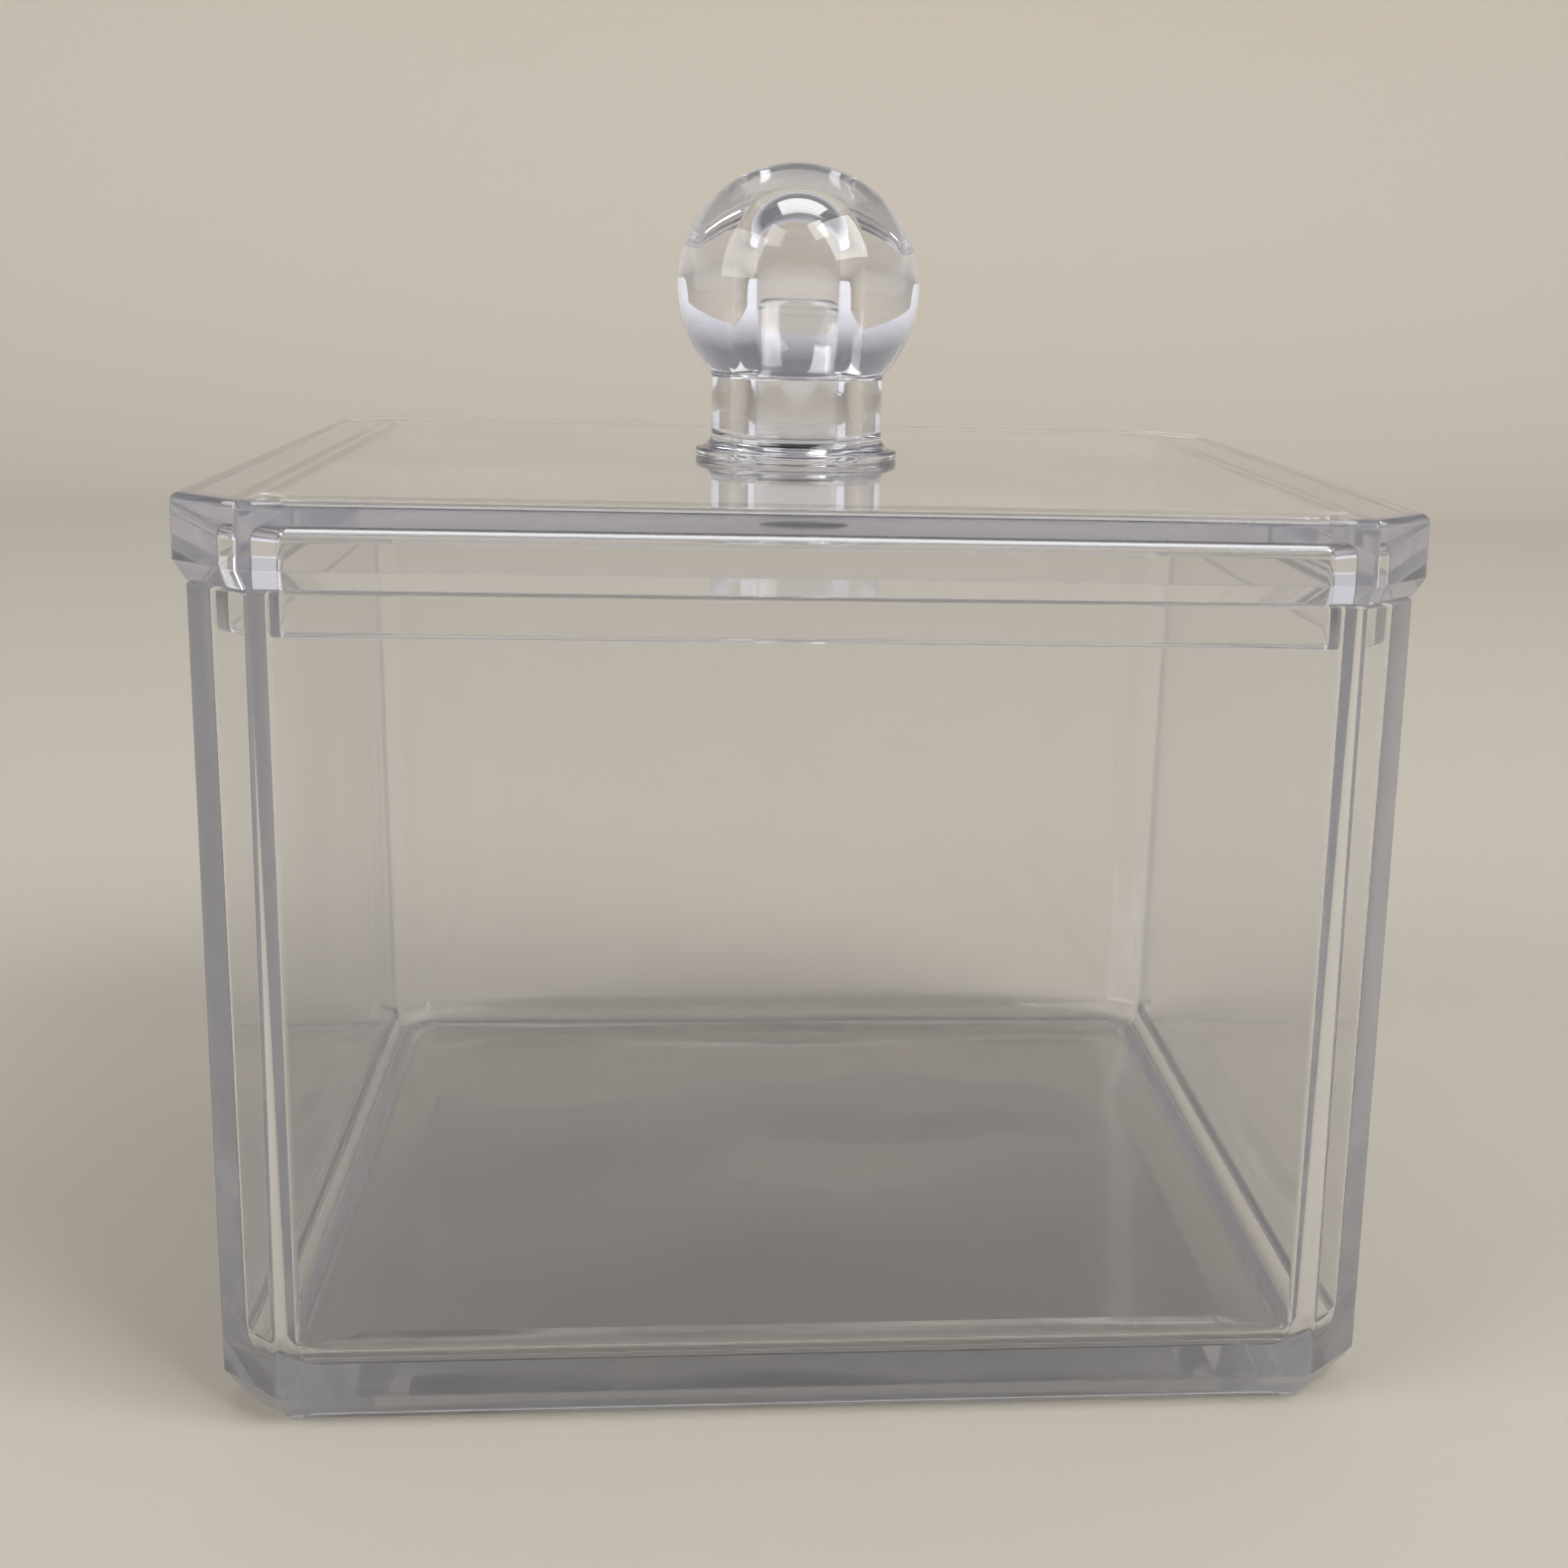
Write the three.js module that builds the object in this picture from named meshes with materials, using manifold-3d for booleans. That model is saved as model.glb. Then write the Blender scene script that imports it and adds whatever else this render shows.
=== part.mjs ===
// A clear moulded storage box for cotton pads and small make-up: a square body with its four upright
// corners cut at 45 degrees, a lift-off lid that drops a locating lip into the body, and a hollow ball
// knob that sits over a peg on the lid.
// Millimetres, +Z up. The origin is at the middle of the foot, on the table, and the front faces -Y.
import * as THREE from 'three';
import { mergeVertices } from 'three/addons/utils/BufferGeometryUtils.js';
import Module from 'manifold-3d';

const wasm = await Module();
wasm.setup();

// Body
const bodyWidth = 98.1; // left to right, at the rim
const bodyDepth = 98.1; // front to back, at the rim
const bodyHeight = 69.6; // from the table to the rim
const cornerCut = 5.5; // what each upright corner loses along both of its faces, at the rim
const edgeRounding = 0.8; // radius of the eight upright edges, seen from above
const wallThickness = 3.1; // at the rim
const outerDraft = 0.55; // how much further in the wall's outside stands at the table than at the rim
const cavityDraft = 1.1; // how much further in the wall's inside stands at the floor than at the rim
const rimRounding = 0.4; // on both edges of the rim
const floorHeight = 4; // from the table to the upper face of the floor
const coveRadius = 3.2; // between the cavity's walls and its floor
const footBevelHeight = 2.9; // the sloping face round the bottom edge
const footBevelInset = 2; // how far that face brings the outline in
const footRingWidth = 3; // the flat ring inside the bevel that the box stands on
const footRecess = 0.8; // how far the underside is raised inside that ring

// Lid
const lidOverhang = 0.95; // how far the lid stands out past the rim, all round
const lidHeight = 6.9; // from the rim to the lid's upper face
const plateThickness = 2.4;
const topBevel = 0.7; // on the upper edge of the lid
const skirtBevelHeight = 1.6; // the sloping underside that brings the overhang back to the rim
const lipReach = 4; // how far the locating lip drops into the body
const lipThickness = 1.6;
const lipClearance = 0.35; // between the lip and the cavity's walls
const lipTipRounding = 0.5;
const hollowFillet = 1.2; // between the lip and the underside of the plate

// Knob, and the peg that carries it
const ballRadius = 11.7;
const ballRise = 16.35; // from the lid's upper face to the middle of the ball
const neckRadius = 8.3;
const neckFillet = 1.2; // where the neck runs into the ball
const footRingRadius = 9.8; // the flared ring that the knob stands on
const footRingHeight = 0.9;
const crownThickness = 5.5; // what is left of the ball over the bore
const pegRadius = 3.9;
const pegClearance = 0.2; // between the peg and the bore
const pegHeight = 15.6;
const pegTipBevel = 0.6;

// How round the curves are
const edgeSteps = 2;
const coveSteps = 5;
const knobSides = 56;
const ballSteps = 18;
const boreSteps = 5;
const filletSteps = 4;

// A corner cut at 45 degrees shortens by this much of an inset when the outline moves in
const cutLossShare = 2 - Math.SQRT2;

function bodyOutside(height) {
  return outerDraft * (1 - height / bodyHeight);
}

function bodyInside(height) {
  return wallThickness + cavityDraft * (bodyHeight - height) / (bodyHeight - floorHeight);
}

// The plan of the box moved in by an inset, as a counter-clockwise list of points
function outlinePoints(inset) {
  const x = bodyWidth / 2 - inset;
  const y = bodyDepth / 2 - inset;
  const cut = cornerCut - inset * cutLossShare;
  const corners = [
    new THREE.Vector2(x - cut, -y), new THREE.Vector2(x, cut - y),
    new THREE.Vector2(x, y - cut), new THREE.Vector2(x - cut, y),
    new THREE.Vector2(cut - x, y), new THREE.Vector2(-x, y - cut),
    new THREE.Vector2(-x, cut - y), new THREE.Vector2(cut - x, -y),
  ];
  const turn = Math.PI / 4;
  const trim = edgeRounding * Math.tan(turn / 2);
  return corners.flatMap((corner, i) => {
    const before = corners.at(i - 1).clone().sub(corner).setLength(trim).add(corner);
    const after = corners[(i + 1) % corners.length].clone().sub(corner).setLength(trim).add(corner);
    const inward = before.clone().add(after).multiplyScalar(1 / 2).sub(corner);
    const centre = inward.setLength(edgeRounding / Math.cos(turn / 2)).add(corner);
    const start = before.clone().sub(centre);
    return Array.from({ length: edgeSteps + 1 }, (_, k) =>
      start.clone().rotateAround(new THREE.Vector2(), turn * k / edgeSteps).add(centre));
  });
}

// A wall section swept round the plan. Each level is an inset and a height; the first and the last
// are closed by a flat face.
function sweptSection(levels) {
  const rings = levels.map(([inset, height]) =>
    outlinePoints(inset).map(({ x, y }) => new THREE.Vector3(x, y, height)));
  const count = rings[0].length;
  const indices = [];
  for (let level = 0; level + 1 < rings.length; level += 1) {
    for (let i = 0; i < count; i += 1) {
      const a = level * count + i;
      const b = level * count + (i + 1) % count;
      indices.push(a, b, b + count, a, b + count, a + count);
    }
  }
  const last = (rings.length - 1) * count;
  for (let i = 1; i + 1 < count; i += 1) {
    indices.push(0, i + 1, i, last, last + i, last + i + 1);
  }
  const geometry = new THREE.BufferGeometry().setFromPoints(rings.flat());
  return geometry.setIndex(indices);
}

// Points of an arc from one angle to another, both ends included
function arcPoints(x, y, radius, from, to, steps) {
  return Array.from({ length: steps + 1 }, (_, k) => {
    const angle = from + (to - from) * k / steps;
    return [x + radius * Math.cos(angle), y + radius * Math.sin(angle)];
  });
}

function turned(profile) {
  return new THREE.LatheGeometry(profile.map(([x, y]) => new THREE.Vector2(x, y)), knobSides)
    .rotateX(Math.PI / 2);
}

function solidOf(geometry) {
  const bare = geometry.clone();
  bare.deleteAttribute('normal');
  bare.deleteAttribute('uv');
  const merged = mergeVertices(bare);
  return new wasm.Manifold(new wasm.Mesh({
    numProp: 3,
    vertProperties: new Float32Array(merged.attributes.position.array),
    triVerts: new Uint32Array(merged.index.array),
  }));
}

function geometryOf(solid) {
  const mesh = solid.getMesh();
  const geometry = new THREE.BufferGeometry();
  geometry.setAttribute('position', new THREE.BufferAttribute(mesh.vertProperties, 3));
  geometry.setIndex(new THREE.BufferAttribute(mesh.triVerts, 1));
  geometry.computeVertexNormals();
  return geometry;
}

// The body's section, from the raised underside over the foot ring, up the bevel and the outside, over
// the rim and down to the floor
function bodyGeometry() {
  const footOutside = bodyOutside(0) + footBevelInset;
  const footInside = footOutside + footRingWidth;
  const coveTop = floorHeight + coveRadius;
  const coveInset = bodyInside(coveTop);
  const cove = arcPoints(coveInset + coveRadius, coveTop, coveRadius, Math.PI, 3 * Math.PI / 2, coveSteps);
  return sweptSection([
    [footInside, footRecess],
    [footInside, 0],
    [footOutside, 0],
    [bodyOutside(footBevelHeight), footBevelHeight],
    [bodyOutside(bodyHeight - rimRounding), bodyHeight - rimRounding],
    [rimRounding, bodyHeight],
    [wallThickness - rimRounding, bodyHeight],
    [bodyInside(bodyHeight - rimRounding), bodyHeight - rimRounding],
    ...cove,
  ]);
}

const lidTop = bodyHeight + lidHeight;

// The lid's section, from the underside of the plate down the inside of the lip, round its tip, out
// over the rim and up the skirt
function lidShellGeometry() {
  const plateUnderside = lidTop - plateThickness;
  const lipBottom = bodyHeight - lipReach;
  const lipOutside = bodyInside(bodyHeight) + lipClearance;
  const lipOutsideBelow = bodyInside(lipBottom) + lipClearance;
  const lipInside = lipOutsideBelow + lipThickness;
  const fillet = arcPoints(lipInside + hollowFillet, plateUnderside - hollowFillet, hollowFillet,
    Math.PI / 2, Math.PI, filletSteps);
  return sweptSection([
    ...fillet,
    [lipInside, lipBottom + lipTipRounding],
    [lipInside - lipTipRounding, lipBottom],
    [lipOutsideBelow + lipTipRounding, lipBottom],
    [lipOutsideBelow, lipBottom + lipTipRounding],
    [lipOutside, bodyHeight],
    [0, bodyHeight],
    [-lidOverhang, bodyHeight + skirtBevelHeight],
    [-lidOverhang, lidTop - topBevel],
    [topBevel - lidOverhang, lidTop],
  ]);
}

// The peg is moulded on the lid, so it grows out of the middle of the plate
function pegGeometry() {
  const root = lidTop - plateThickness / 2;
  const tip = lidTop + pegHeight;
  return turned([
    [0, root],
    [pegRadius, root],
    [pegRadius, tip - pegTipBevel],
    [pegRadius - pegTipBevel, tip],
    [0, tip],
  ]);
}

// The knob from the foot ring up the neck, round the ball to its top, and back down the bore
function knobGeometry() {
  const seat = lidTop;
  const middle = seat + ballRise;
  const flare = footRingRadius - neckRadius;
  const flareArc = arcPoints(footRingRadius, seat + footRingHeight + flare, flare,
    3 * Math.PI / 2, Math.PI, filletSteps);
  const filletCentreX = neckRadius + neckFillet;
  const filletDrop = Math.sqrt((ballRadius + neckFillet) ** 2 - filletCentreX ** 2);
  const meetAngle = Math.atan2(filletDrop, filletCentreX);
  const neckArc = arcPoints(filletCentreX, middle - filletDrop, neckFillet,
    Math.PI, Math.PI - meetAngle, filletSteps);
  const ballArc = arcPoints(0, middle, ballRadius, -meetAngle, Math.PI / 2, ballSteps);
  const boreRadius = pegRadius + pegClearance;
  const boreCap = middle + ballRadius - crownThickness - boreRadius;
  const boreArc = arcPoints(0, boreCap, boreRadius, Math.PI / 2, 0, boreSteps);
  const ballTop = ballArc.pop();
  const boreTop = boreArc.shift();
  return turned([
    [0, boreTop[1]],
    ...boreArc,
    [boreRadius, seat],
    [footRingRadius, seat],
    ...flareArc,
    ...neckArc,
    ...ballArc.slice(1),
    [0, ballTop[1]],
  ]);
}

function clearPlastic(name, color) {
  return new THREE.MeshStandardMaterial({
    name, color, roughness: 0.06, metalness: 0, transparent: true, opacity: 0.35,
  });
}

const organizer = new THREE.Group();
organizer.name = 'makeup_organizer';

const boxBody = new THREE.Mesh(bodyGeometry(), clearPlastic('clear body plastic', 0xe9e8f0));
boxBody.name = 'box_body';
organizer.add(boxBody);

const lidAssembly = new THREE.Group();
const lidSolid = solidOf(lidShellGeometry()).add(solidOf(pegGeometry()));
const lid = new THREE.Mesh(geometryOf(lidSolid), clearPlastic('clear lid plastic', 0xe9e8f0));
lid.name = 'lid';
const knob = new THREE.Mesh(knobGeometry(), clearPlastic('clear knob plastic', 0xedecf2));
knob.name = 'knob';
lidAssembly.add(lid, knob);
organizer.add(lidAssembly);

export default organizer;
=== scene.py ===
# %% [markdown]
# # A clear moulded storage box with a ball knob
# The object is a square box of clear plastic with its four upright corners cut at 45 degrees, a lid that
# lifts straight off, and a hollow ball knob that sits over a peg on the lid. Clear plastic shows its
# thickness: nearly all that the eye reads is light bent at edges. So the walls, the lip and the bore are
# modelled at their true thickness, and the finish comes after them.
#
# The fixed model of the box is loaded first. Its measured sizes drive everything below.

# %% Load the frame
import math

import bmesh
import bpy
from mathutils import Matrix, Vector


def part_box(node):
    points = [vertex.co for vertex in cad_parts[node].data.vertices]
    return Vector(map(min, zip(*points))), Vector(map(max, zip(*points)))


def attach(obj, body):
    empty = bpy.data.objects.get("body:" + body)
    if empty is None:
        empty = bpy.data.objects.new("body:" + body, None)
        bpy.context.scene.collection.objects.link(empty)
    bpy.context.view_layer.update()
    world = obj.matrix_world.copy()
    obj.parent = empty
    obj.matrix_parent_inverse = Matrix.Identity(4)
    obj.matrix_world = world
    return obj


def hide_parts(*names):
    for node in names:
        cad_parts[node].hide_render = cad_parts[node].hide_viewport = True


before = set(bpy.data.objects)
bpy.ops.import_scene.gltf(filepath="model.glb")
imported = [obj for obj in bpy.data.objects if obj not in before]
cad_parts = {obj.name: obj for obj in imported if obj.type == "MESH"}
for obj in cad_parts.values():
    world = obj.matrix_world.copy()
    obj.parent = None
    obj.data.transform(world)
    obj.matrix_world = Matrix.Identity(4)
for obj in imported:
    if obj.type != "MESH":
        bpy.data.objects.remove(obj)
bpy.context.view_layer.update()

mm = 0.001
body_low, body_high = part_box("box_body")
lid_low, lid_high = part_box("lid")
knob_low, knob_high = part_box("knob")
print("box body from", body_low, "to", body_high)
print("lid from", lid_low, "to", lid_high)
print("knob from", knob_low, "to", knob_high)

# %% [markdown]
# ## Sections with rounded corners
# A moulding is described by its wall section: a few corners, each with the radius that the mould has
# there. This helper turns such corners into points, with an arc of short steps at each radius. Rounding
# the section before it is swept gives clean, even rings. Bevelling the finished mesh would do it too,
# but a bevel trips over itself where a tiny radius meets a long thin wall.
#
# Everything is built in millimetres, which the mesh operators handle well, and made metres at the end.

# %% Rounded sections
arc_step = 0.5  # millimetres along an arc
least_steps = 4  # in any arc
tiny = 1e-4  # points closer than this, in millimetres, count as one


def rounded_section(corners):
    """Points of a section whose corners are (across, height, radius)."""
    points = [Vector(corners[0][:2])]
    for before, (across, height, radius), after in zip(corners, corners[1:], corners[2:]):
        corner = Vector((across, height))
        come = (corner - Vector(before[:2])).normalized()
        leave = (Vector(after[:2]) - corner).normalized()
        turn = math.atan2(come.cross(leave), come.dot(leave))
        start = corner - come * radius * math.tan(abs(turn) / 2)
        centre = start + Vector((-come.y, come.x)) * math.copysign(radius, turn)
        steps = max(least_steps, math.ceil(radius * abs(turn) / arc_step)) if radius else 0
        for k in range(steps + 1):
            spoke = start - centre
            spoke.rotate(Matrix.Rotation(turn * k / max(steps, 1), 2))
            if (centre + spoke - points[-1]).length > tiny:
                points.append(centre + spoke)
    points.append(Vector(corners[-1][:2]))
    return points


test = rounded_section([(0, 0, 0), (10, 0, 2), (10, 10, 0)])
print("a corner of radius 2 runs from", tuple(test[1]), "to", tuple(test[-2]))

# %% [markdown]
# ## Sweeping a section round the plan
# Body and lid share one plan: a square with cut corners. A single flat face of that plan is carried along
# the section, and each step of it leaves a ring of wall behind. The inset operator does this well. It
# moves the face in or out by the same amount on every side, so a wall keeps one thickness round the cut
# corners too, which scaling the face would not.

# %% Sweep a face along a section
cut_loss = 2 - math.sqrt(2)  # a 45 degree cut shortens by this share of an inset


def plan_face(shape, width, cut, start):
    """One flat face of the plan, at the section's first point."""
    made = bmesh.ops.create_grid(shape, x_segments=1, y_segments=1, size=width / 2 - start.x)
    bmesh.ops.bevel(shape, geom=made["verts"], offset=cut - start.x * cut_loss, affect="VERTICES",
                    segments=1, profile=0.5, material=-1)
    bmesh.ops.translate(shape, verts=shape.verts[:], vec=(0, 0, start.y))
    return next(iter(shape.faces))


def sweep(shape, face, section):
    """Carry a face along a section of (inset, height) and leave the wall behind it."""
    for here, there in zip(section, section[1:]):
        bmesh.ops.inset_region(shape, faces=[face], thickness=there.x - here.x,
                               depth=there.y - here.y, use_even_offset=True, use_boundary=True)


def close_start(shape):
    """Fill the opening that the first step of a sweep left."""
    rim = [edge for edge in shape.edges if edge.is_boundary]
    bmesh.ops.holes_fill(shape, edges=rim, sides=0)


# %% [markdown]
# ## Rounding the upright edges
# On the real box the eight upright edges are a little rounded, outside and inside, and each carries a
# thin bright streak. The lines that climb the corners of the sweep form unbroken chains from the underside
# to the floor. An edge bevel follows such a chain cleanly, because it slides along the long edges that run
# round the box.

# %% Round the upright edges
skew = 0.02  # how far an edge round the plan may stray from its direction, as a share of its length


def goes_round(edge):
    """True for an edge that runs round the plan, and not up a corner."""
    run = edge.verts[1].co - edge.verts[0].co
    x, y = abs(run.x), abs(run.y)
    return abs(run.z) < tiny and min(x, y, abs(x - y)) < skew * run.length


def round_uprights(shape, radius, segments):
    """Give the corners of a swept wall a radius, seen from above."""
    lines = [edge for edge in shape.edges if not goes_round(edge)]
    bmesh.ops.bevel(shape, geom=lines, offset=radius * math.tan(math.pi / 8), offset_type="OFFSET",
                    affect="EDGES", segments=segments, profile=0.5, material=-1, loop_slide=True,
                    clamp_overlap=False)
    return len(lines)


# %% [markdown]
# ## From a shape to an object
# The mesh is scaled to metres, its normals are set once its doubles are gone, and it is shaded smooth. On
# clear plastic a wrong normal shows as a false lens, so a weighted normal modifier keeps the broad walls
# truly flat and lets only the narrow roundings bend the light.

# %% Finish a shape
def finished_object(shape, name):
    """Turn a shape in millimetres into an object in metres, at the origin."""
    bmesh.ops.remove_doubles(shape, verts=shape.verts[:], dist=tiny)
    bmesh.ops.recalc_face_normals(shape, faces=shape.faces[:])
    bmesh.ops.scale(shape, vec=(mm, mm, mm), verts=shape.verts[:])
    open_edges = sum(not edge.is_manifold for edge in shape.edges)
    for face in shape.faces:
        face.smooth = True
    mesh = bpy.data.meshes.new(name)
    volume = shape.calc_volume(signed=True) / mm ** 3
    shape.to_mesh(mesh)
    shape.free()
    piece = bpy.data.objects.new(name, mesh)
    bpy.context.scene.collection.objects.link(piece)
    flats = piece.modifiers.new("broad faces stay flat", "WEIGHTED_NORMAL")
    flats.mode = "FACE_AREA"
    flats.weight = 100
    print(name, len(mesh.polygons), "faces,", open_edges, "open edges,", round(volume), "cubic mm")
    return piece


# %% [markdown]
# ## The box body
# The body is one shell with slightly tapered walls, so that it leaves its mould: 3.1 mm thick at the rim,
# with a soft cove where the walls meet the floor, a bevel all round the bottom edge, and an underside
# raised inside a narrow foot ring. Its section starts at the underside, runs over the foot ring and up the
# outside, turns over the rim, and goes down the inside to the floor.

# %% Make the box body
body_width = (body_high[0] - body_low[0]) / mm  # across the rim, the same both ways
body_height = body_high[2] / mm
corner_cut = 5.5  # what each upright corner loses along both of its faces, at the rim
edge_rounding = 0.8
edge_steps = 3  # in each rounded upright edge
wall_thickness = 3.1  # at the rim
outer_draft = 0.55  # how much further in the outside stands at the table than at the rim
cavity_draft = 1.1  # the same for the inside, from rim to floor
rim_rounding = 0.4
floor_height = 4  # from the table to the floor's upper face
cove_radius = 3.2
bevel_height = 2.9
bevel_inset = 2
bevel_rounding = 0.35
foot_ring_width = 3
foot_recess = 0.8
foot_rounding = 0.3
short_start = 1.2  # the flat bit of the underside that the sweep starts with
short_end = 0.3  # the flat bit of the floor that it ends with

ring_outside = outer_draft + bevel_inset
ring_inside = ring_outside + foot_ring_width
floor_edge = wall_thickness + cavity_draft
body_section = rounded_section([
    (ring_inside + short_start, foot_recess, 0),
    (ring_inside, foot_recess, foot_rounding),
    (ring_inside, 0, foot_rounding),
    (ring_outside, 0, foot_rounding),
    (outer_draft * (1 - bevel_height / body_height), bevel_height, bevel_rounding),
    (0, body_height, rim_rounding),
    (wall_thickness, body_height, rim_rounding),
    (floor_edge, floor_height, cove_radius),
    (floor_edge + cove_radius + short_end, floor_height, 0),
])
shape = bmesh.new()
face = plan_face(shape, body_width, corner_cut, body_section[0])
sweep(shape, face, body_section)
close_start(shape)
print("upright lines rounded:", round_uprights(shape, edge_rounding, edge_steps))
clear_box = finished_object(shape, "clear_box")

# %% [markdown]
# ## The lid
# The lid is a plate with a thick border. Outside, its skirt stands slightly past the body and slopes back
# to the rim. Inside, a thin lip drops into the body and holds the lid in place. The border is swept as the
# body was, so its corners are cut and rounded in the same way.
#
# The lid rests on the rim without becoming one with it, so a hair of air is left between them.

# %% Make the lid
air_gap = 0.04
lid_overhang = (lid_high[0] - body_high[0]) / mm
lid_top = knob_low[2] / mm  # where the knob stands
plate_thickness = 2.4
top_rounding = 0.7
skirt_slope = 1.6  # height of the sloping underside of the skirt
skirt_rounding = 0.3
lip_reach = 4
lip_thickness = 1.6
lip_clearance = 0.35  # between the lip and the cavity's walls
lip_rounding = 0.5
hollow_fillet = 1.2  # between the lip and the plate
plate_start = 0.5  # the flat bit of the plate's underside that the sweep starts with

plate_underside = lid_top - plate_thickness
lip_bottom = body_height - lip_reach
lip_outside = wall_thickness + lip_clearance
lip_draft = cavity_draft * lip_reach / (body_height - floor_height)
lip_inside = lip_outside + lip_draft + lip_thickness
seat = body_height + air_gap
lid_section = rounded_section([
    (lip_inside + hollow_fillet + plate_start, plate_underside, 0),
    (lip_inside, plate_underside, hollow_fillet),
    (lip_inside, lip_bottom, lip_rounding),
    (lip_outside + lip_draft, lip_bottom, lip_rounding),
    (lip_outside, seat, lip_clearance / 2),
    (0, seat, skirt_rounding),
    (-lid_overhang, seat + skirt_slope, skirt_rounding),
    (-lid_overhang, lid_top, top_rounding),
    (2 * top_rounding, lid_top, 0),
])
shape = bmesh.new()
plate = plan_face(shape, body_width, corner_cut, lid_section[0])
sweep(shape, plate, lid_section)
close_start(shape)
print("upright lines rounded:", round_uprights(shape, edge_rounding, edge_steps))

# %% [markdown]
# ## The peg
# A round peg grows from the middle of the plate and carries the knob. The plate is filled again round a
# ring of edges, and the ring's face is carried up a section of its own, so that lid and peg are one skin.
# A Boolean would join them too, but it can leave thin faces that show in clear plastic.

# %% Grow the peg from the plate
peg_radius = 3.9
peg_clearance = 0.2  # between the peg and the knob's bore
peg_fillet = 0.15
peg_height = 15.6
peg_rounding = 0.6
peg_sides = 96

peg_section = rounded_section([
    (0, lid_top, 0),
    (peg_fillet, lid_top, peg_fillet),
    (peg_fillet, lid_top + peg_height, peg_rounding),
    (peg_fillet + 2 * peg_rounding, lid_top + peg_height, 0),
])
plate = max(shape.faces, key=lambda face: face.calc_center_median().z)
border = plate.edges[:]
bmesh.ops.delete(shape, geom=[plate], context="FACES_ONLY")
made = bmesh.ops.create_circle(shape, cap_ends=True, radius=peg_radius + peg_fillet, segments=peg_sides)
bmesh.ops.translate(shape, verts=made["verts"], vec=(0, 0, lid_top))
root = made["verts"][0].link_faces[0]
if root.normal.z < 0:
    bmesh.ops.reverse_faces(shape, faces=[root])
bmesh.ops.triangle_fill(shape, use_beauty=True, edges=border + root.edges[:], normal=(0, 0, 1))
sweep(shape, root, peg_section)
clear_lid = finished_object(shape, "clear_lid")

# %% [markdown]
# ## The ball knob
# The knob is a clear ball on a short neck with a flared ring at its foot, moulded round a blind bore that
# slips over the peg. It is a turned form, so half of its section is spun about the upright axis. The spin
# merges its last step into its first, and the points on the axis are merged afterwards.

# %% Make the knob
ball_radius = (knob_high[0] - knob_low[0]) / 2 / mm
ball_middle = knob_high[2] / mm - ball_radius
neck_radius = 8.3
neck_fillet = 1.2
knob_ring_radius = 9.8
knob_ring_height = 0.9
ring_rounding = 0.2
bore_radius = peg_radius + peg_clearance
crown_thickness = 5.5  # what is left of the ball over the bore
knob_steps = 144

knob_seat = lid_top + air_gap
bore_top = ball_middle + ball_radius - crown_thickness
fillet_across = neck_radius + neck_fillet
fillet_drop = math.sqrt((ball_radius + neck_fillet) ** 2 - fillet_across ** 2)
meet = math.atan2(fillet_drop, fillet_across)  # the turn between the ball's side and the neck
ball_top = ball_middle + ball_radius
knob_section = rounded_section([
    (0, bore_top, 0),
    (bore_radius, bore_top, bore_radius),
    (bore_radius, knob_seat, ring_rounding),
    (knob_ring_radius, knob_seat, ring_rounding),
    (knob_ring_radius, knob_seat + knob_ring_height, ring_rounding),
    (neck_radius, knob_seat + knob_ring_height, knob_ring_radius - neck_radius - ring_rounding),
    (neck_radius, ball_middle - fillet_drop + neck_fillet * math.tan(meet / 2), neck_fillet),
    (ball_radius, ball_middle - ball_radius * math.tan(meet / 2), ball_radius),
    (ball_radius, ball_top, ball_radius),
    (0, ball_top, 0),
])
shape = bmesh.new()
verts = [shape.verts.new((point.x, 0, point.y)) for point in knob_section]
edges = [shape.edges.new(pair) for pair in zip(verts, verts[1:])]
bmesh.ops.spin(shape, geom=verts + edges, cent=(0, 0, 0), axis=(0, 0, 1), angle=2 * math.pi,
               steps=knob_steps, use_merge=True)
ball_knob = finished_object(shape, "ball_knob")

# %% [markdown]
# ## Clear plastic
# Moulded polystyrene is clear, glossy and a touch lavender where light runs a long way through it, as it
# does along the edges. Tinting the surface would colour the broad walls as much as the edges. A thin
# absorbing volume colours by distance, as the real plastic does, and leaves the walls almost colourless.
# A little scattering beside it makes the edges glow, where light that is trapped in a wall comes out.
#
# The surface isn't perfect: a mould leaves broad faint waves, and handling leaves fine hairlines and a
# slight unevenness in the gloss. All three come from noise on Object coordinates, so two small helpers
# come first, one for a noise and one for a bump.

# %% Noise and bump
def noise(nodes, links, vector, scale, detail):
    """A noise on the given coordinates."""
    texture = nodes.new("ShaderNodeTexNoise")
    texture.inputs["Scale"].default_value = scale
    texture.inputs["Detail"].default_value = detail
    links.new(vector, texture.inputs["Vector"])
    return texture.outputs["Fac"]


def bump(nodes, links, height, strength, distance):
    """A bump node driven by a height, with its depth in metres."""
    node = nodes.new("ShaderNodeBump")
    node.inputs["Strength"].default_value = strength
    node.inputs["Distance"].default_value = distance
    links.new(height, node.inputs["Height"])
    return node


print("helpers:", noise.__name__, bump.__name__)

# %% [markdown]
# ## The plastic's inside and its skin
# The colour and the haze are volumes, added together. On the skin, the unevenness of the gloss drives the
# roughness, and the fine hairlines lie on top of the broad waves, because each bump hands its normal on to
# the next. Each piece has its own mixture: the body is the haziest, and the knob almost clean.

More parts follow.
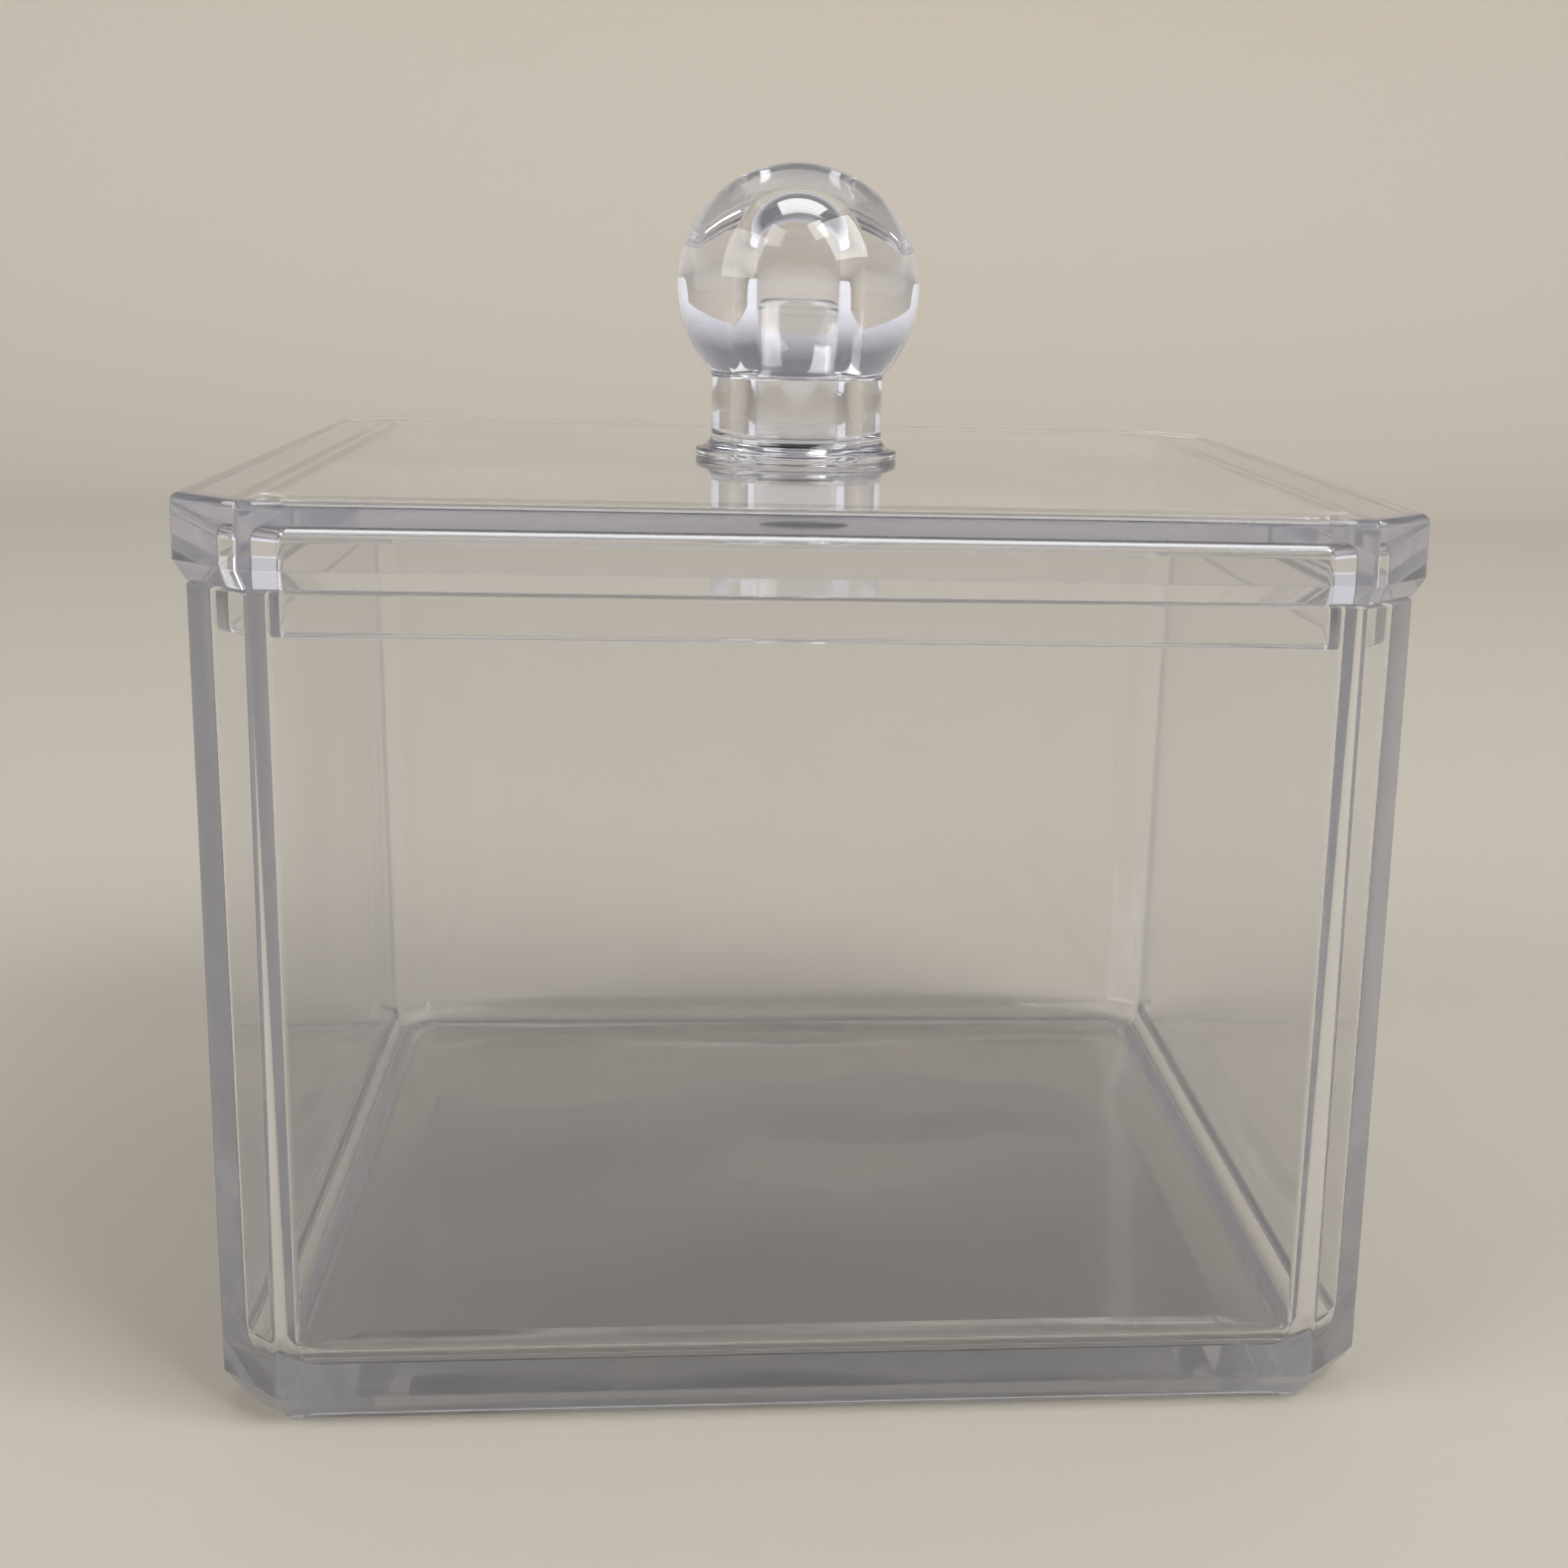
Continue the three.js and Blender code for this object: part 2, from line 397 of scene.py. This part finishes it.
# %% Clear plastic material
refraction = 1.58
surface_tint = (0.985, 0.985, 0.99, 1)
haze_tint = (0.94, 0.92, 1, 1)
gloss_scale, gloss_detail = 90, 5
smoothest, roughest = 0.01, 0.05
wave_scale, wave_detail, wave_depth = 22, 1, 0.0006
hairline_tilt = (0.4, 0.3)  # turns about X and Y, in radians
hairline_stretch = (40, 1800, 900)  # long one way and narrow the other two
hairline_scale, hairline_detail = 1, 2
hairline_strength, hairline_depth = 0.04, 0.00005


def clear_plastic(name, tint, depth, haze, wave_strength, hairline_turn):
    """A clear moulded plastic. depth is the absorption in each metre, and haze the scattering."""
    material = bpy.data.materials.new(name)
    material.use_nodes = True
    nodes, links = material.node_tree.nodes, material.node_tree.links
    shader = nodes["Principled BSDF"]
    shader.inputs["Base Color"].default_value = surface_tint
    shader.inputs["IOR"].default_value = refraction
    shader.inputs["Transmission Weight"].default_value = 1
    inside = nodes.new("ShaderNodeAddShader")
    for socket, kind, color, density in (
        (inside.inputs[0], "ShaderNodeVolumeAbsorption", tint, depth),
        (inside.inputs[1], "ShaderNodeVolumeScatter", haze_tint, haze),
    ):
        volume = nodes.new(kind)
        volume.inputs["Color"].default_value = color
        volume.inputs["Density"].default_value = density
        links.new(volume.outputs["Volume"], socket)
    links.new(inside.outputs["Shader"], nodes["Material Output"].inputs["Volume"])

    place = nodes.new("ShaderNodeTexCoord").outputs["Object"]
    spread = nodes.new("ShaderNodeMapRange")
    spread.inputs["To Min"].default_value = smoothest
    spread.inputs["To Max"].default_value = roughest
    links.new(noise(nodes, links, place, gloss_scale, gloss_detail), spread.inputs["Value"])
    links.new(spread.outputs["Result"], shader.inputs["Roughness"])

    stretch = nodes.new("ShaderNodeMapping")
    stretch.inputs["Rotation"].default_value = (*hairline_tilt, hairline_turn)
    stretch.inputs["Scale"].default_value = hairline_stretch
    links.new(place, stretch.inputs["Vector"])
    waves = noise(nodes, links, place, wave_scale, wave_detail)
    hairlines = noise(nodes, links, stretch.outputs["Vector"], hairline_scale, hairline_detail)
    broad = bump(nodes, links, waves, wave_strength, wave_depth)
    broad.name = "broad waves"
    fine = bump(nodes, links, hairlines, hairline_strength, hairline_depth)
    links.new(broad.outputs["Normal"], fine.inputs["Normal"])
    links.new(fine.outputs["Normal"], shader.inputs["Normal"])
    print(name, "has", len(nodes), "nodes")
    return material


lavender = (0.72, 0.70, 0.92, 1)
for piece, name, depth, haze, wave_strength, hairline_turn in (
    (clear_box, "clear body plastic", 4, 20, 0.08, 0.2),
    (clear_lid, "clear lid plastic", 5, 12, 0.08, 1.1),
    (ball_knob, "clear knob plastic", 4, 2, 0.10, 2.0),
):
    piece.data.materials.append(
        clear_plastic(name, lavender, depth, haze, wave_strength, hairline_turn))

# %% [markdown]
# ## The rippled floor
# The floor of such a box is its widest flat part and cools unevenly in the mould, so it isn't as true as the
# walls: soft ripples some 25 mm apart break up the light that it mirrors. They are a fraction of a
# millimetre deep, too little to see as a shape. A bump does it, held back from the walls by how high and
# how far out a point lies.

# %% Ripple the floor
ripple_scale, ripple_detail = 38, 0.5
ripple_strength, ripple_depth = 1, 0.0011
fade_width = 4 * mm  # over this last stretch before the cove, the ripples fade out
level_slack = 0.5 * mm  # how far from the floor's height a point may lie and still ripple


def calculate(nodes, links, operation, *sockets):
    """A sum on one or two sockets."""
    node = nodes.new("ShaderNodeMath")
    node.operation = operation
    for socket, entry in zip(sockets, node.inputs):
        links.new(socket, entry)
    return node


def ripple_floor(material, floor_top, reach):
    """Add soft ripples to the upper face of a floor. floor_top and reach are in metres."""
    nodes, links = material.node_tree.nodes, material.node_tree.links
    place = nodes.new("ShaderNodeTexCoord").outputs["Object"]
    ripples = noise(nodes, links, place, ripple_scale, ripple_detail)
    mirrored = nodes.new("ShaderNodeVectorMath")
    mirrored.operation = "ABSOLUTE"
    links.new(place, mirrored.inputs[0])
    split = nodes.new("ShaderNodeSeparateXYZ")
    links.new(mirrored.outputs["Vector"], split.inputs["Vector"])
    outward = calculate(nodes, links, "MAXIMUM", split.outputs["X"], split.outputs["Y"])
    fade = nodes.new("ShaderNodeMapRange")
    for entry, value in (("From Min", reach - fade_width), ("From Max", reach),
                         ("To Min", 1), ("To Max", 0)):
        fade.inputs[entry].default_value = value
    links.new(outward.outputs["Value"], fade.inputs["Value"])
    level = calculate(nodes, links, "COMPARE", split.outputs["Z"])
    level.inputs[1].default_value = floor_top
    level.inputs[2].default_value = level_slack
    faded = calculate(nodes, links, "MULTIPLY", ripples, fade.outputs["Result"])
    held = calculate(nodes, links, "MULTIPLY", faded.outputs["Value"], level.outputs["Value"])
    soft = bump(nodes, links, held.outputs["Value"], ripple_strength, ripple_depth)
    links.new(soft.outputs["Normal"], nodes["broad waves"].inputs["Normal"])
    print("ripples on", material.name, "at", round(floor_top / mm, 1), "mm")


ripple_floor(clear_box.data.materials[0], floor_height * mm,
             (body_width / 2 - floor_edge - cove_radius) * mm)

# %% [markdown]
# ## Floor and backdrop
# Clear plastic looks like what stands behind it. One pale sheet, flat under the box and curved up behind
# it, gives an even ground with no horizon line. It is a strip pulled back and up, with a wide bevel at the
# bend.

# %% Make the floor and backdrop
sheet_half_width = 1.6  # this and the next sizes are in metres
sheet_front = -1.4
sheet_back = 0.9
sheet_top = 0.34
bend_radius = 0.25
bend_steps = 24
sheet_drop = 0.00002  # it lies a hair under the foot, so that no two faces coincide
shape = bmesh.new()
made = bmesh.ops.create_grid(shape, x_segments=1, y_segments=1, size=sheet_half_width)
for vert in made["verts"]:
    vert.co.y = sheet_back if vert.co.y > 0 else sheet_front
    vert.co.z = -sheet_drop
back = [edge for edge in shape.edges if min(vert.co.y for vert in edge.verts) > 0]
pulled = bmesh.ops.extrude_edge_only(shape, edges=back)["geom"]
raised = [item for item in pulled if isinstance(item, bmesh.types.BMVert)]
bmesh.ops.translate(shape, verts=raised, vec=(0, 0, sheet_top))
fold = [edge for edge in shape.edges if not edge.is_boundary]
bmesh.ops.bevel(shape, geom=fold, offset=bend_radius, affect="EDGES", segments=bend_steps, profile=0.5,
                material=-1)
for face in shape.faces:
    face.smooth = True
mesh = bpy.data.meshes.new("studio_sheet")
shape.to_mesh(mesh)
shape.free()
studio_sheet = bpy.data.objects.new("studio_sheet", mesh)
bpy.context.scene.collection.objects.link(studio_sheet)
print("studio sheet", len(mesh.polygons), "faces")

# %% [markdown]
# ## The paper
# The sheet is matt paper of a warm pale grey. A glossy sheet would mirror the box, and a white one would
# hide its bright edges. It is only a ground, so a plain colour does and it has no texture to draw the eye.

# %% Make the paper
paper = bpy.data.materials.new("pale paper")
paper.use_nodes = True
paper_shader = paper.node_tree.nodes["Principled BSDF"]
paper_shader.inputs["Base Color"].default_value = (0.60, 0.55, 0.465, 1)
paper_shader.inputs["Roughness"].default_value = 0.9
mesh.materials.append(paper)
print("paper:", paper.name, "on", studio_sheet.name)

# %% [markdown]
# ## Light
# Soft light from broad panels keeps the highlights on the plastic large and calm. The world around is pale
# at eye level and grows dark overhead. The upright corners bend the view sideways, so they pick up the pale
# part and shine. Sloping and rounded edges bend it upwards, pick up the dark part, and draw themselves as
# lines. A world of one grey would light the box as well, but its edges would hardly show.

# %% Set the light panels
def panel(name, power, size, place, aim):
    """A square soft light at a place, facing the aim. Its power is in watts and its size in metres."""
    light = bpy.data.lights.new(name, "AREA")
    light.energy = power
    light.size = size
    lamp = bpy.data.objects.new(name, light)
    lamp.location = place
    lamp.rotation_euler = (Vector(aim) - Vector(place)).to_track_quat("-Z", "Y").to_euler()
    bpy.context.scene.collection.objects.link(lamp)
    return lamp


middle = (0, 0, 0.05)
panel("key panel", 10, 0.8, (0.75, -0.55, 0.95), middle)
panel("fill panel", 6, 0.8, (-0.95, -0.5, 0.6), middle)
panel("top panel", 3.5, 1.2, (0.05, 0.35, 1.1), middle)

# %% Set the world
pale_to, pale_tint = 0.12, (0.91, 0.90, 0.97, 1)  # each height is the sine of an angle above eye level
dark_from, dark_tint = 0.45, (0.20, 0.20, 0.21, 1)
world = bpy.data.worlds.new("studio surroundings")
bpy.context.scene.world = world
world.use_nodes = True
nodes, links = world.node_tree.nodes, world.node_tree.links
direction = nodes.new("ShaderNodeTexCoord")
split = nodes.new("ShaderNodeSeparateXYZ")
links.new(direction.outputs["Generated"], split.inputs["Vector"])
height = nodes.new("ShaderNodeValToRGB")
for stop, position, tint in zip(height.color_ramp.elements, (pale_to, dark_from), (pale_tint, dark_tint)):
    stop.position = position
    stop.color = tint
links.new(split.outputs["Z"], height.inputs["Fac"])
links.new(height.outputs["Color"], nodes["Background"].inputs["Color"])
print("the world is pale up to", pale_to, "and dark from", dark_from)

# %% [markdown]
# ## Camera
# The camera stands close, a little above the lid and slightly left of the middle, so that the lid's upper
# face and the cavity's floor both show. Its place and turn were fitted to the outlines of the real box. A
# small shift of the lens puts the box where it sits in the picture, without turning the camera.

# %% Set the camera
eye = (-9.17, -222.99, 94.82)  # millimetres
camera_turn = (78.342, -1.608, -5.748)  # degrees
camera_data = bpy.data.cameras.new("camera")
camera_data.sensor_width = 36
camera_data.lens = 51.90
camera_data.shift_x = -0.0968
camera_data.shift_y = -0.0302
camera_data.clip_start = 0.01
camera = bpy.data.objects.new("camera", camera_data)
camera.location = Vector(eye) * mm
camera.rotation_euler = [math.radians(angle) for angle in camera_turn]
bpy.context.scene.collection.objects.link(camera)
bpy.context.scene.camera = camera
bpy.context.scene.view_settings.view_transform = "Standard"
print("camera at", tuple(camera.location))

# %% [markdown]
# ## Light paths
# Light crosses many surfaces in a clear box: a wall has two, and a look through lid, peg and knob meets
# more than ten. With too few bounces, such a path ends black. So transmission gets many, and the faint
# scattering inside the plastic only a few, because each of those costs time.

# %% Set the light paths
light_paths = bpy.context.scene.cycles
light_paths.max_bounces = 24
light_paths.transmission_bounces = 24
light_paths.glossy_bounces = 8
light_paths.volume_bounces = 2
print("light paths of up to", light_paths.max_bounces, "bounces")

# %% [markdown]
# ## What moves with what
# Each moulding stands for one solid of the fixed model and rides on that solid's body. The knob is fixed
# on the lid, so both rise together.

# %% Attach the pieces
for piece, body, node, slot in (
    (clear_box, "box", "box_body", "clear_body"),
    (clear_lid, "lid", "lid", "clear_lid"),
    (ball_knob, "lid", "knob", "clear_knob"),
):
    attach(piece, body)
    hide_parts(node)
    print(piece.name, "rides on", body, "and replaces", node)
